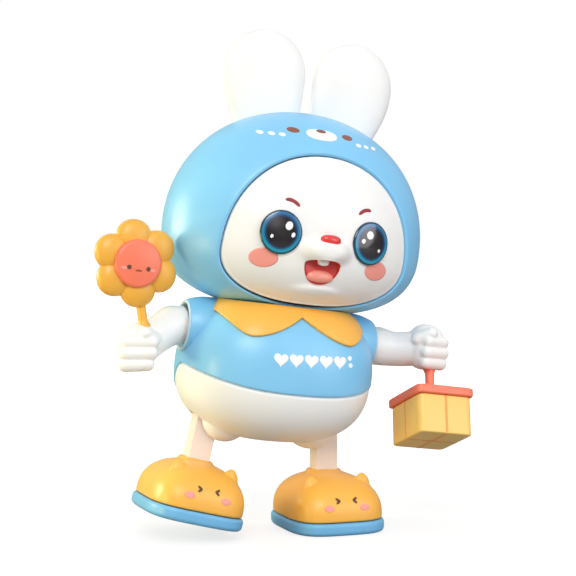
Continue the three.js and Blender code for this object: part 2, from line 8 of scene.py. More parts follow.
import bmesh
import bpy
import numpy as np
from mathutils import Matrix, Vector
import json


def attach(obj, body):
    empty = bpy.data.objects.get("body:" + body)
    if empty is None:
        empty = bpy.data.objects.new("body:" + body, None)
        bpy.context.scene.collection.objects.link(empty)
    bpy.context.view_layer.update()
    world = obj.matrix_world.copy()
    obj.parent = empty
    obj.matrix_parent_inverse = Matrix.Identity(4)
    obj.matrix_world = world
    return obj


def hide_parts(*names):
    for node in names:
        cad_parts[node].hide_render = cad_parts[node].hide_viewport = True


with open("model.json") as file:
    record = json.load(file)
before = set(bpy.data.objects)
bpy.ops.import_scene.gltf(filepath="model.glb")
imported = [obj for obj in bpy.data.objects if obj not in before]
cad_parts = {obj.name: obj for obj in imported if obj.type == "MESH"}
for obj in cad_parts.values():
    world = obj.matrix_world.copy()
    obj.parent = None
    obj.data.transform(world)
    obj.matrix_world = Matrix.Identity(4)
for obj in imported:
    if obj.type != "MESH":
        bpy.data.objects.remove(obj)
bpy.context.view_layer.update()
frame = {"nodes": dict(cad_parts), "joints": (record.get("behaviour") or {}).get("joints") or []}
MM = 0.001
GAP = 0.3

# ---- frames: the leaning figure, its head, and the two legs ----
JOINT = {j["name"]: j for j in frame["joints"]}
HIP_LEFT = Vector(JOINT["left_hip"]["pos_m"])
HIP_RIGHT = Vector(JOINT["right_hip"]["pos_m"])
HIP = Vector((25.5, 2, 62))
ACROSS = (HIP_LEFT - HIP_RIGHT).normalized()
BACK = Vector((0, 1, 0))
UP = ACROSS.cross(BACK)
LEAN = math.atan2(UP.x, UP.z)
FIGURE = Matrix((ACROSS, BACK, UP)).transposed().to_4x4()
FIGURE.translation = (HIP_LEFT + HIP_RIGHT) / 2 - FIGURE.to_3x3() @ Vector((0, HIP.y * MM, HIP.z * MM))
HEAD_SHIFT = 1.7
HEAD_FRAME = FIGURE @ Matrix.Translation((HEAD_SHIFT * MM, 0, 0))
SIDES = ((1, "left"), (-1, "right"))


def leg_frame(s):
    """The frame of one leg: its origin is the hip pin and its z runs up the shank."""
    pin = Matrix.Translation(Vector((s * HIP.x, HIP.y, HIP.z)) * MM)
    return FIGURE @ pin @ Matrix.Rotation(-s * LEAN, 4, "Y")


def fig(x, y, z):
    """A point in the part's frame, from millimetres in the figure's frame."""
    return FIGURE @ (Vector((x, y, z)) * MM)


# ---- materials ----
def srgb(r, g, b):
    """Linear colour from 8-bit display values."""
    return tuple(((c / 255 + 0.055) / 1.055) ** 2.4 if c > 10 else c / 3300 for c in (r, g, b)) + (1,)


def shader(name):
    m = bpy.data.materials.new(name)
    m.use_nodes = True
    nodes, links = m.node_tree.nodes, m.node_tree.links
    return m, nodes, links, nodes["Principled BSDF"]


def noise(nodes, links, where, scale, detail=3.0, rough=0.5):
    n = nodes.new("ShaderNodeTexNoise")
    n.inputs["Scale"].default_value = scale
    n.inputs["Detail"].default_value = detail
    n.inputs["Roughness"].default_value = rough
    links.new(where, n.inputs["Vector"])
    return n.outputs["Fac"]


def ramp(nodes, links, fac, stops, ease="LINEAR"):
    r = nodes.new("ShaderNodeValToRGB")
    r.color_ramp.interpolation = ease
    e = r.color_ramp.elements
    while len(e) < len(stops):
        e.new(0.5)
    for point, (at, colour) in zip(e, stops):
        point.position = at
        point.color = colour
    links.new(fac, r.inputs["Fac"])
    return r.outputs["Color"]


def remap(nodes, links, value, a, b, low, high):
    r = nodes.new("ShaderNodeMapRange")
    r.inputs["From Min"].default_value = a
    r.inputs["From Max"].default_value = b
    r.inputs["To Min"].default_value = low
    r.inputs["To Max"].default_value = high
    links.new(value, r.inputs["Value"])
    return r.outputs["Result"]


def moulded(name, colour, rough=0.38, vary=0.035, grain=0.05, soft=0.0, coat=0.25, metal=0.0):
    """Moulded plastic: slight drift of colour, a fine matt grain and uneven gloss."""
    m, nodes, links, bsdf = shader(name)
    where = nodes.new("ShaderNodeTexCoord").outputs["Object"]
    base = srgb(*colour)
    dark = tuple(c * (1 - vary) for c in base[:3]) + (1,)
    light = tuple(min(c * (1 + vary), 1) for c in base[:3]) + (1,)
    drift = ramp(nodes, links, noise(nodes, links, where, 38), [(0.3, dark), (0.7, light)])
    links.new(drift, bsdf.inputs["Base Color"])
    gloss = noise(nodes, links, where, 210, 2)
    links.new(remap(nodes, links, gloss, 0.3, 0.7, rough - 0.05, rough + 0.06), bsdf.inputs["Roughness"])
    bump = nodes.new("ShaderNodeBump")
    bump.inputs["Strength"].default_value = grain
    bump.inputs["Distance"].default_value = 0.0002
    links.new(noise(nodes, links, where, 2600, 2), bump.inputs["Height"])
    links.new(bump.outputs["Normal"], bsdf.inputs["Normal"])
    bsdf.inputs["Metallic"].default_value = metal
    bsdf.inputs["Coat Weight"].default_value = coat
    bsdf.inputs["Coat Roughness"].default_value = 0.32
    if soft:
        bsdf.inputs["Subsurface Weight"].default_value = soft
        bsdf.inputs["Subsurface Radius"].default_value = (1.0, 0.7, 0.5)
        bsdf.inputs["Subsurface Scale"].default_value = 0.003
    return m


BLUE = moulded("blue_plastic", (132, 202, 243))
SLEEVE_EDGE = moulded("sleeve_edge", (206, 226, 234), rough=0.4)
WHITE = moulded("white_plastic", (247, 245, 242), rough=0.4, vary=0.012, soft=0.15)
LEG_WHITE = moulded("leg_white", (246, 232, 224), rough=0.36, vary=0.015, soft=0.15)
ORANGE = moulded("orange_plastic", (255, 186, 76), rough=0.38)
PETAL = moulded("petal_orange", (240, 176, 62), rough=0.4)
SOLE = moulded("sole_plastic", (112, 182, 228), rough=0.45)
YELLOW = moulded("yellow_plastic", (254, 208, 112), rough=0.42)
RIBBON = moulded("ribbon_orange", (243, 160, 66), rough=0.42)
CORAL = moulded("coral_plastic", (250, 124, 92), rough=0.4)
NOSE_RED = moulded("nose_gloss", (226, 52, 50), rough=0.22, coat=0.6)
MOUTH_RED = moulded("mouth_red", (208, 42, 34), rough=0.35)
TONGUE = moulded("tongue_pink", (243, 150, 132), rough=0.35, soft=0.1)
BROW = moulded("brow_print", (152, 38, 46), rough=0.5, coat=0)
CHEEK = moulded("cheek_print", (252, 160, 146), rough=0.45, coat=0)
# white for printed marks, and also for the painted highlights on the eyes
PRINT_AND_HIGHLIGHT_WHITE = moulded("print_and_highlight_white", (252, 252, 252), rough=0.4, vary=0.01)
PRINT_BROWN = moulded("print_brown", (142, 82, 62), rough=0.5)
PRINT_DARK = moulded("print_dark", (96, 58, 34), rough=0.5)
BLUSH = moulded("blush_print", (253, 160, 150), rough=0.45, coat=0)
GREY = moulded("grey_plastic", (109, 112, 117), rough=0.55, grain=0.12)
KNOB = moulded("knob_black", (44, 44, 47), rough=0.5, grain=0.12)
CONE = moulded("speaker_black", (38, 39, 43), rough=0.7, grain=0.3)
BOARD = moulded("board_green", (31, 107, 69), rough=0.5, vary=0.15)
CELL = moulded("cell_sleeve", (58, 63, 71), rough=0.35, vary=0.08)
STEEL = moulded("steel", (186, 189, 193), rough=0.3, grain=0.15, metal=1.0, coat=0)


# ---- meshes ----
def mesh_of(name, verts, faces):
    points = [tuple(float(c) * MM for c in v) for v in verts]
    me = bpy.data.meshes.new(name)
    me.from_pydata(points, [], [tuple(int(i) for i in f) for f in faces])
    return me


def piece(name, verts, faces, place, body, materials, nodes=(), slot=None, face_slots=None):
    """A mesh piece from millimetre points in the frame `place`, riding on a body."""
    me = mesh_of(name, verts, faces)
    me.update()
    for m in materials:
        me.materials.append(m)
    if face_slots is not None:
        me.polygons.foreach_set("material_index", np.asarray(face_slots, np.int32))
    ob = bpy.data.objects.new(name, me)
    bpy.context.scene.collection.objects.link(ob)
    ob.matrix_world = place
    tidy_normals(ob)
    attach(ob, body)
    if nodes:
        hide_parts(*nodes)
    return ob


def tidy_normals(ob):
    """Welds the points that meet, turns the faces outwards and shades them smooth."""
    bm = bmesh.new()
    bm.from_mesh(ob.data)
    bmesh.ops.remove_doubles(bm, verts=bm.verts, dist=1e-7)
    bmesh.ops.recalc_face_normals(bm, faces=bm.faces)
    bm.to_mesh(ob.data)
    bm.free()
    ob.data.polygons.foreach_set("use_smooth", [True] * len(ob.data.polygons))


def apply(ob):
    """Turns an object's modifiers into its mesh."""
    bpy.context.view_layer.update()
    made = bpy.data.meshes.new_from_object(ob.evaluated_get(bpy.context.evaluated_depsgraph_get()))
    old = ob.data
    ob.modifiers.clear()
    ob.data = made
    bpy.data.meshes.remove(old)


def sheet(rows, start_cap=False, end_cap=False, wrap=True):
    """Vertices and faces of a skin through equal rings of points."""
    rows = [np.asarray(r, float) for r in rows]
    n = len(rows[0])
    verts = list(np.concatenate(rows))
    faces = []
    for k in range(len(rows) - 1):
        for i in range(n if wrap else n - 1):
            j = (i + 1) % n
            faces.append((k * n + i, k * n + j, (k + 1) * n + j, (k + 1) * n + i))
    for cap, k in ((start_cap, 0), (end_cap, len(rows) - 1)):
        if cap:
            verts.append(rows[k].mean(axis=0))
            c = len(verts) - 1
            faces += [(k * n + i, k * n + (i + 1) % n, c) for i in range(n)]
    return verts, faces


def joined(*parts):
    """Several bodies as one list of vertices and faces."""
    verts, faces = [], []
    for v, f in parts:
        faces += [tuple(i + len(verts) for i in g) for g in f]
        verts += list(v)
    return verts, faces


def angles(n):
    return np.arange(n) * 2 * math.pi / n


def ring(rx, ry, z, power=2.0, n=64, x=0.0, y=0.0):
    """A level superellipse outline."""
    a = angles(n)
    k = (abs(np.cos(a)) ** power + abs(np.sin(a)) ** power) ** (-1 / power)
    return np.stack([x + rx * k * np.cos(a), y + ry * k * np.sin(a), np.full(n, float(z))], axis=1)


def blob(rx, ry, up, down, power=2.0, plan=None, low_power=None, x=0.0, y=0.0, z=0.0, around=64, rows=40):
    """A closed rounded body, the same form that the CAD uses."""
    plan = plan or power
    low_power = low_power or power
    rings = []
    for t in np.linspace(-math.pi / 2, math.pi / 2, rows + 1)[1:-1]:
        n = power if t > 0 else low_power
        c, s = math.cos(t), math.sin(t)
        k = (c**n + abs(s) ** n) ** (-1 / n)
        rings.append(ring(rx * k * c, ry * k * c, z + k * s * (up if t > 0 else down), plan, around, x, y))
    verts, faces = sheet(rings, True, True)
    verts[-2] = np.array([x, y, z - down])
    verts[-1] = np.array([x, y, z + up])
    return verts, faces


def lathe(profile, n=64):
    """A body turned about z from (radius, height) pairs."""
    rows = [ring(max(r, 1e-4), max(r, 1e-4), z, 2, n) for r, z in profile]
    return sheet(rows)


def tube(points, radii, n=32, steps=48):
    """A round limb along a smooth curve through points, closed at both ends."""
    points = [Vector(p) for p in points]
    rows = []
    last = len(points) - 1
    for k in range(steps + 1):
        u = k / steps * last
        i = min(int(u), last - 1)
        t = u - i
        p0, p1, p2, p3 = (points[min(max(j, 0), last)] for j in (i - 1, i, i + 1, i + 2))
        bend = (2 * p0 - 5 * p1 + 4 * p2 - p3) * t**2
        twist = (3 * p1 - p0 - 3 * p2 + p3) * t**3
        at = 0.5 * (2 * p1 + (p2 - p0) * t + bend + twist)
        along = (p2 - p0) * (1 - t) + (p3 - p1) * t
        side = along.cross(Vector((0, 1, 0.2))).normalized()
        other = side.cross(along).normalized()
        e = t * t * (3 - 2 * t)
        r = radii[i] * (1 - e) + radii[i + 1] * e
        rows.append([tuple(at + side * (r * math.cos(a)) + other * (r * math.sin(a))) for a in angles(n)])
    return sheet(rows, True, True)


def melted(name, parts, place, body, materials, voxel=0.4, smooth=6, nodes=(), slot=None):
    """Several closed bodies run together into one soft skin."""
    verts, faces = joined(*parts)
    ob = piece(name, verts, faces, place, body, materials, nodes, slot)
    mod = ob.modifiers.new("melt", "REMESH")
    mod.mode = "VOXEL"
    mod.voxel_size = voxel * MM
    mod.use_smooth_shade = True
    relax = ob.modifiers.new("relax", "SMOOTH")
    relax.factor = 0.5
    relax.iterations = smooth
    apply(ob)
    ob.data.materials.clear()
    for m in materials:
        ob.data.materials.append(m)
    return ob


def cut(ob, mesh, place):
    """Cuts a closed body out of a piece."""
    me = mesh_of("cutter", *mesh)
    tool = bpy.data.objects.new("cutter", me)
    bpy.context.scene.collection.objects.link(tool)
    tool.matrix_world = place
    tidy_normals(tool)
    mod = ob.modifiers.new("cut", "BOOLEAN")
    mod.operation = "DIFFERENCE"
    mod.solver = "EXACT"
    mod.object = tool
    apply(ob)
    bpy.data.objects.remove(tool)
    bpy.data.meshes.remove(me)


def prism(x0, x1, y0, y1, z0, z1):
    """A plain box, for cutting slots and for ribbons."""
    v = [(x, y, z) for z in (z0, z1) for y in (y0, y1) for x in (x0, x1)]
    f = [(0, 1, 3, 2), (4, 6, 7, 5), (0, 4, 5, 1), (1, 5, 7, 3), (3, 7, 6, 2), (2, 6, 4, 0)]
    return [np.array(p, float) for p in v], f


def rounded_box(w, d, z0, z1, edge, power):
    """A closed box with rounded corners and rolled edges."""
    rows = []
    for t in np.linspace(0, math.pi / 2, 7):
        inset = edge * (1 - math.sin(t))
        rows.append(ring(w / 2 - inset, d / 2 - inset, z0 + edge * (1 - math.cos(t)), power, 96))
    for t in np.linspace(math.pi / 2, 0, 7):
        inset = edge * (1 - math.sin(t))
        rows.append(ring(w / 2 - inset, d / 2 - inset, z1 - edge * (1 - math.cos(t)), power, 96))
    return sheet(rows, True, True)


def solve(f, low, high, steps=40):
    """The place between low and high where a falling function of an array passes zero."""
    a, b = np.full_like(high, 1.0) * low, high.copy()
    for _ in range(steps):
        m = (a + b) / 2
        over = f(m) > 0
        a, b = np.where(over, m, a), np.where(over, b, m)
    return (a + b) / 2


# ---- the head's surface: y as a function of x and z, measured from the head's middle ----
HEAD = dict(rx=58.0, ry=44.5, up=54.5, down=32.5, power=2.1, low_power=2.6, z=127.0)
FACE = dict(half=41.1, up=42.2, down=20.8, z=119.0, top_power=2.08, power=2.3)
SET_BACK = 0.8


def head_level(z, inset=0.0):
    """How wide the head is at a height, as a share of its widest."""
    d = z - HEAD["z"]
    n = np.where(d > 0, HEAD["power"], HEAD["low_power"])
    h = np.where(d > 0, HEAD["up"] - inset, HEAD["down"] - inset)
    return np.clip(1 - (abs(d) / h) ** n, 0, None) ** (1 / n)


def head_y(x, z, inset=0.0):
    """Distance of the head's front from its middle plane."""
    e = head_level(z, inset) ** 2 - (x / (HEAD["rx"] - inset)) ** 2
    return (HEAD["ry"] - inset) * np.sqrt(np.clip(e, 0, None))


def face_outline(a):
    """The rim of the face opening in x and z, one point for each bearing a."""
    n = np.where(np.sin(a) > 0, FACE["top_power"], FACE["power"])
    k = (abs(np.cos(a)) ** n + abs(np.sin(a)) ** n) ** (-1 / n)
    tall = np.where(np.sin(a) > 0, FACE["up"], FACE["down"])
    return np.stack([FACE["half"] * k * np.cos(a), FACE["z"] + tall * k * np.sin(a)], axis=1)


def lift(flat, y):
    """Points from (x, z) pairs and distances in front of the middle plane."""
    return np.stack([flat[:, 0], -y, flat[:, 1]], axis=1)


def build_hood():
    a = angles(176)
    rim = face_outline(a)
    out = (rim - [0, FACE["z"]]) / np.linalg.norm(rim - [0, FACE["z"]], axis=1, keepdims=True)
    middle = np.array([0, FACE["z"]])

    def room(t):
        return head_level((middle + out * t[:, None])[:, 1]) * HEAD["rx"] - abs(out[:, 0] * t)

    reach = solve(room, 0.0, np.full(len(a), 85.0))
    edge = middle + out * reach[:, None]
    roll = 1.3
    rows = []
    start = rim + out * roll
    front = head_y(start[:, 0], start[:, 1])
    rows.append(lift(rim, front - 4.2))
    for t in np.linspace(math.pi / 2, 0, 7)[:-1]:
        flat = rim + out * roll * (1 - math.sin(t))
        rows.append(lift(flat, front - roll * (1 - math.cos(t))))
    for s in np.linspace(0, 1, 30)[:-1]:
        flat = start + (edge - start) * math.sin(s * math.pi / 2)
        rows.append(lift(flat, head_y(flat[:, 0], flat[:, 1])))
    rows.append(lift(edge, np.zeros(len(a))))
    back = np.array([0.0, 131.0])
    seam = [(5.7, 0), (5.82, 0.35), (6.18, 0.35), (6.3, 0)]
    depths = [(y, 0) for y in (1.5, 3.0, 4.5)] + seam
    depths += [(44.4 * math.sin(s), 0) for s in np.linspace(0.2, 1.5, 26)]
    for y, inset in depths:

        def behind(t):
            return head_y(*(back + (edge - back) * t[:, None]).T, inset) - y

        k = solve(behind, 0.0, np.full(len(a), 1.0))
        rows.append(lift(back + (edge - back) * k[:, None], np.full(len(a), -y)))
    verts, faces = sheet(rows, False, True)
    halves = ("hood_front", "hood_back")
    piece("hood", verts, faces, HEAD_FRAME, "torso", [BLUE], halves, "blue_plastic")


MUZZLE = dict(x=0.0, z=121.2, half=9.8, tall=5.0, out=5.0)
CHIN = dict(x=0.0, z=104.4, half=9.6, tall=2.4, out=2.0)
MOUTH = dict(x=-0.3, z=115.3, half=7.9, up=2.3, down=7.7)


def face_y(x, z):
    """Distance of the face's skin from the head's middle plane, with its muzzle and chin."""
    y = head_y(x, z, SET_BACK)
    for b, p in ((MUZZLE, 2.2), (CHIN, 1.5)):
        far = ((x - b["x"]) / b["half"]) ** 2 + ((z - b["z"]) / b["tall"]) ** 2
        y = y + b["out"] * np.exp(-(far**p))
    return y


def mouth_outline(a, by=0.0):
    c, s = np.cos(a), np.sin(a)
    x = MOUTH["x"] + (MOUTH["half"] + by) * np.sign(c) * abs(c) ** 0.82 * (1 + 0.1 * np.minimum(s, 0))
    above = (MOUTH["up"] + by) * abs(s) ** 0.7
    below = (MOUTH["down"] + by) * abs(s) ** 0.92
    return np.stack([x, MOUTH["z"] + np.where(s > 0, above, -below)], axis=1)


def build_face():
    a = angles(192)
    lip = mouth_outline(a)
    middle = np.array([MOUTH["x"], MOUTH["z"] - 2.6])
    out = lip - middle
    out = out / np.linalg.norm(out, axis=1, keepdims=True)

    def inside(t):
        p = middle + out * t[:, None] - [0, FACE["z"]]
        tall = np.where(p[:, 1] > 0, FACE["up"], FACE["down"]) - 0.45
        half = FACE["half"] - 0.45
        n = np.where(p[:, 1] > 0, FACE["top_power"], FACE["power"])
        return 1 - (abs(p[:, 0]) / half) ** n - (abs(p[:, 1]) / tall) ** n

    rim = middle + out * solve(inside, 0.0, np.full(len(a), 60.0))[:, None]
    roll = 0.9
    start = rim - out * roll
    front = face_y(start[:, 0], start[:, 1])
    rows = [lift(rim, front - 4.0)]
    for t in np.linspace(math.pi / 2, 0, 6)[:-1]:
        rows.append(lift(rim - out * roll * (1 - math.sin(t)), front - roll * (1 - math.cos(t))))
    rim_roll = 0.55
    end = mouth_outline(a, rim_roll)
    for s in np.linspace(0, 1, 72):
        flat = start + (end - start) * (1 - (1 - s) ** 1.25)
        rows.append(lift(flat, face_y(flat[:, 0], flat[:, 1])))
    lip_y = face_y(end[:, 0], end[:, 1])
    for t in np.linspace(0, math.pi / 2, 6)[1:]:
        flat = mouth_outline(a, rim_roll * (1 - math.sin(t)))
        rows.append(lift(flat, lip_y - rim_roll * (1 - math.cos(t))))
    white_rows = len(rows) - 1
    deep = 40.2
    rows.append(lift(lip, np.minimum(lip_y - 1.6, deep + 1.2)))
    for k in (0.94, 0.8, 0.5, 0.2):
        flat = middle + (lip - middle) * k
        rows.append(lift(flat, np.full(len(a), deep - (1 - k))))
    verts, faces = sheet(rows, False, True)
    slots = [0] * (white_rows * len(a)) + [1] * (len(faces) - white_rows * len(a))
    paints = [WHITE, MOUTH_RED]
    piece("face", verts, faces, HEAD_FRAME, "torso", paints, ("face_plate",), "white_plastic", slots)


def sprite(name, outline, surface, place, body, material, lift_by=0.08):
    """A thin painted patch, a print or on the eyes a painted highlight: an outline in x and z laid on a
    surface that gives -y.
    """
    flat = np.asarray(outline, float)
    c = flat.mean(axis=0)
    rows = []
    for k in [1.0] + list(np.linspace(1, 0.08, 8)):
        p = c + (flat - c) * k
        by = -0.05 if not rows else lift_by
        rows.append(lift(p, surface(p[:, 0], p[:, 1]) + by))
    verts, faces = sheet(rows, False, True)
    p = c[None]
    verts[-1] = lift(p, surface(p[:, 0], p[:, 1]) + lift_by)[0]
    piece(name, verts, faces, place, body, [material])


def oval(x, z, rx, rz, turn_by=0.0, n=40, power=2.0):
    a = angles(n)
    k = (abs(np.cos(a)) ** power + abs(np.sin(a)) ** power) ** (-1 / power)
    px, pz = rx * k * np.cos(a), rz * k * np.sin(a)
    c, s = math.cos(turn_by), math.sin(turn_by)
    return np.stack([x + px * c - pz * s, z + px * s + pz * c], axis=1)


def ribbon_patch(name, points, width, surface, place, body, material, lift_by=0.09):
    """A printed line on a surface."""
    p = np.asarray(points, float)
    d = np.gradient(p, axis=0)
    d = d / np.linalg.norm(d, axis=1, keepdims=True)
    side = np.stack([-d[:, 1], d[:, 0]], axis=1) * width / 2
    u = np.linspace(0, 1, len(p))
    taper = np.clip(1 - abs(2 * u - 1) ** 6, 0.02, 1)[:, None] ** 0.5
    rows = []
    top = [(k, lift_by) for k in (-1, -0.5, 0, 0.5, 1)]
    for k, by in [(-1, -0.05)] + top + [(1, -0.05)]:
        q = p + side * taper * k
        rows.append(lift(q, surface(q[:, 0], q[:, 1]) + by))
    verts, faces = sheet(rows, wrap=False)
    piece(name, verts, faces, place, body, [material])


EYE = dict(x=20, y=-41.4, z=127, r=8.75, turn=13)


def build_eyes():
    r = EYE["r"]
    for s, side in SIDES:
        yaw = Matrix.Rotation(s * math.radians(EYE["turn"]), 4, "Z")
        seat = HEAD_FRAME @ Matrix.Translation(Vector((s * EYE["x"], EYE["y"], EYE["z"])) * MM) @ yaw
        local = seat @ Matrix.Rotation(math.radians(90), 4, "X")
        profile = [(r, -1.2), (r, 0.1), (r - 0.12, 0.28), (r - 0.4, 0.4)]
        profile += [(r * k, 0.42 + 0.85 * (1 - k**2)) for k in np.linspace(0.94, 0, 24)]
        verts, faces = lathe(profile, 96)
        verts = [v * [1, 1.04, 1] for v in verts]
        paint = eye_paint("eye_paint_" + side, r)
        piece("eye_" + side, verts, faces, local, "torso", [paint], ("eye_" + side,), "eye_gloss")
        # white spots on each eye dome: painted highlights, laid on like print
        painted_highlights = ((0.34, 0.33, 0.17, 0.21), (0.58, -0.08, 0.09, 0.12), (-0.42, -0.24, 0.07, 0.09))
        if s > 0:
            painted_highlights = ((-0.16, 0.38, 0.19, 0.2), (-0.5, 0.06, 0.1, 0.12), (0.44, -0.3, 0.065, 0.085))
        for i, (x, z, w, h) in enumerate(painted_highlights):
            spot = oval(x * r, z * r, w * r, h * r, -0.3)
            sprite(f"eye_spark_{side}_{i + 1}", spot, eye_dome, seat, "torso", PRINT_AND_HIGHLIGHT_WHITE, 0.05)


def eye_dome(x, z):
    """Distance of an eye's surface from its seat."""
    return 0.46 + 0.85 * (1 - (x**2 + (z / 1.04) ** 2) / EYE["r"] ** 2)


def eye_paint(name, r):
    """Glossy printed eye: dark pupil, navy and teal rings and a dark rim."""
    m, nodes, links, bsdf = shader(name)
    where = nodes.new("ShaderNodeTexCoord").outputs["Object"]
    split = nodes.new("ShaderNodeSeparateXYZ")
    links.new(where, split.inputs["Vector"])
    shift = nodes.new("ShaderNodeMapping")
    shift.inputs["Location"].default_value = (-0.0003, -0.0004, 0)
    shift.inputs["Scale"].default_value = (1 / (r * MM), 1 / (r * MM * 1.04), 0)
    links.new(where, shift.inputs["Vector"])
    length = nodes.new("ShaderNodeVectorMath")
    length.operation = "LENGTH"
    links.new(shift.outputs["Vector"], length.inputs[0])
    far = length.outputs["Value"]
    dark = [(0.0, srgb(48, 42, 42)), (0.64, srgb(24, 22, 28))]
    dark += [(0.69, srgb(22, 40, 70)), (0.75, srgb(26, 62, 104))]
    low = dark + [(0.81, srgb(8, 132, 164)), (0.9, srgb(6, 158, 184)), (0.94, srgb(16, 66, 86))]
    high = dark + [(0.81, srgb(40, 100, 150)), (0.9, srgb(52, 120, 168)), (0.94, srgb(24, 52, 76))]
    mix = nodes.new("ShaderNodeMix")
    mix.data_type = "RGBA"
    reach = r * MM * 0.7
    links.new(remap(nodes, links, split.outputs["Y"], -reach, reach, 0, 1), mix.inputs["Factor"])
    links.new(ramp(nodes, links, far, low), mix.inputs["A"])
    links.new(ramp(nodes, links, far, high), mix.inputs["B"])
    glow = nodes.new("ShaderNodeMix")
    glow.data_type = "RGBA"
    glow.blend_type = "SCREEN"
    cloud = noise(nodes, links, where, 60)
    links.new(remap(nodes, links, cloud, 0.2, 0.8, 0.55, 0.8), glow.inputs["Factor"])
    links.new(mix.outputs["Result"], glow.inputs["A"])
    tilt = nodes.new("ShaderNodeMapping")
    tilt.inputs["Location"].default_value = (0.35, -0.5, 0)
    tilt.inputs["Scale"].default_value = (1 / (r * MM), 1 / (r * MM), 0)
    links.new(where, tilt.inputs["Vector"])
    patch = nodes.new("ShaderNodeVectorMath")
    patch.operation = "LENGTH"
    links.new(tilt.outputs["Vector"], patch.inputs[0])
    fade = [(0.0, srgb(92, 88, 92)), (0.6, (0, 0, 0, 1))]
    links.new(ramp(nodes, links, patch.outputs["Value"], fade, "EASE"), glow.inputs["B"])
    links.new(glow.outputs["Result"], bsdf.inputs["Base Color"])
    gloss = noise(nodes, links, where, 300)
    links.new(remap(nodes, links, gloss, 0.3, 0.7, 0.1, 0.16), bsdf.inputs["Roughness"])
    bsdf.inputs["Coat Weight"].default_value = 0.5
    bsdf.inputs["Coat Roughness"].default_value = 0.08
    return m


def build_face_details():
    verts, faces = blob(4.4, 2.4, 2.3, 2.3, 2.2, y=-45.6, z=126, around=48, rows=28)
    verts = [v + [0.5, 0, 0.03 * v[0] ** 2 * 0.35] for v in verts]
    piece("nose", verts, faces, HEAD_FRAME, "torso", [NOSE_RED], ("nose",), "nose_gloss")
    tongue = blob(5.9, 2.0, 2.8, 2.4, 2.1, x=MOUTH["x"], y=-39.6, z=110.6, around=48, rows=24)
    piece("tongue", *tongue, HEAD_FRAME, "torso", [TONGUE])
    tooth = blob(2.5, 1.7, 2.4, 2.3, 2.8, x=MOUTH["x"] - 0.1, y=-42.2, z=117.6, around=40, rows=20)
    piece("tooth", *tooth, HEAD_FRAME, "torso", [WHITE])
    for s, side in SIDES:
        u = np.linspace(-1, 1, 15)
        arc = np.stack([s * (16.2 + 3.0 * u), 141.0 - 2.2 * (0.5 - 0.5 * u) ** 2 - 0.5 * u * u], axis=1)
        ribbon_patch("brow_" + side, arc, 1.5, face_y, HEAD_FRAME, "torso", BROW)
        sprite("cheek_" + side, oval(s * 25.1, 115.9, 5.7, 4.0), face_y, HEAD_FRAME, "torso", CHEEK)


def build_hood_print():
    """A small animal face printed above the opening."""
    mid = -2.0
    on = (head_y, HEAD_FRAME, "torso")
    sprite("print_muzzle", oval(mid, 170.3, 6.9, 2.5, power=2.3), *on, PRINT_AND_HIGHLIGHT_WHITE)
    sprite("print_nose", oval(mid, 172.0, 2.2, 0.8), *on, PRINT_BROWN, 0.16)
    for s in (1, -1):
        side = "left" if s > 0 else "right"
        sprite("print_eye_" + side, oval(mid + s * 12.1, 171, 2.6, 1.25), *on, PRINT_BROWN)
        for i, (x, z) in enumerate(((17.1, 168.3), (21.2, 168.3), (25.5, 168.4))):
            sprite(f"print_dot_{side}_{i + 1}", oval(mid + s * x, z, 1.35, 0.85), *on, PRINT_AND_HIGHLIGHT_WHITE)


EAR = dict(
    x=20.6, base_x=16.5, y=1.5, base=168.0, wide=196.0, top=215.4, half=18.6, base_half=12.4, thick=4.8
)


def build_ears():
    for s, side in SIDES:
        rows = []
        for k in np.concatenate([np.linspace(0, 1, 26), 1 + np.linspace(0, 1, 30)[1:]]):
            rise = min(k, 1)
            cap = math.sin(max(k - 1, 0) * math.pi / 2 * 0.995)
            z = EAR["base"] + (EAR["wide"] - EAR["base"]) * rise + (EAR["top"] - EAR["wide"]) * cap
            grow = math.sin(rise * math.pi / 2)
            close = math.sqrt(1 - cap**2)
            half = (EAR["base_half"] + (EAR["half"] - EAR["base_half"]) * grow) * close
            x = EAR["base_x"] + (EAR["x"] - EAR["base_x"]) * grow
            rows.append(ring(half, EAR["thick"] * close**0.6, z, 2.2, 72, s * x, EAR["y"]))
        verts, faces = sheet(rows, True, True)
        piece("ear_" + side, verts, faces, HEAD_FRAME, "torso", [WHITE], ("ear_" + side,), "white_plastic")


# ---- the body's surface ----
TORSO = dict(rx=42.0, ry=36.0, up=32.0, down=30.0, power=2.5, z=68.0)
HEM = dict(side=68.0, front=60.5, back=54.0, flat_from=22.0)
COLLAR = dict(lobe=22.3, low=83.0, high=98.0, inner=29.0, outer=16.0, bend=1.65)
SHIRT = dict(proud=0.45, wall=1.8, top=93.4)
BELLY_WALL = 2.2
LEG_SLOT = dict(inner=19.4, outer=34.4, half_deep=5.4, low=20, high=60)
SWITCH_SLOT = (-5.2, 5.2, 20, 40, 45.8, 50.2)
DOOR = dict(half=29, low=57.4, high=88, screw_z=61.5)


def torso_ring(a, z, by=0.0):
    """Points round the body at heights z, one for each bearing a."""
    d = np.asarray(z, float) - TORSO["z"]
    h = np.where(d > 0, TORSO["up"], TORSO["down"]) + by
    n = TORSO["power"]
    level = np.clip(1 - (abs(d) / h) ** n, 0, None) ** (1 / n)
    k = (abs(np.cos(a)) ** n + abs(np.sin(a)) ** n) ** (-1 / n) * level
    x = (TORSO["rx"] + by) * k * np.cos(a)
    y = (TORSO["ry"] + by) * k * np.sin(a)
    return np.stack([x, y, TORSO["z"] + d], axis=1)


def torso_y(x, z, by=0.0):
    """Distance of the body's surface from its middle plane."""
    d = z - TORSO["z"]
    h = np.where(d > 0, TORSO["up"], TORSO["down"]) + by
    n = TORSO["power"]
    e = 1 - (abs(d) / h) ** n - (abs(x) / (TORSO["rx"] + by)) ** n
    return (TORSO["ry"] + by) * np.clip(e, 0, None) ** (1 / n)


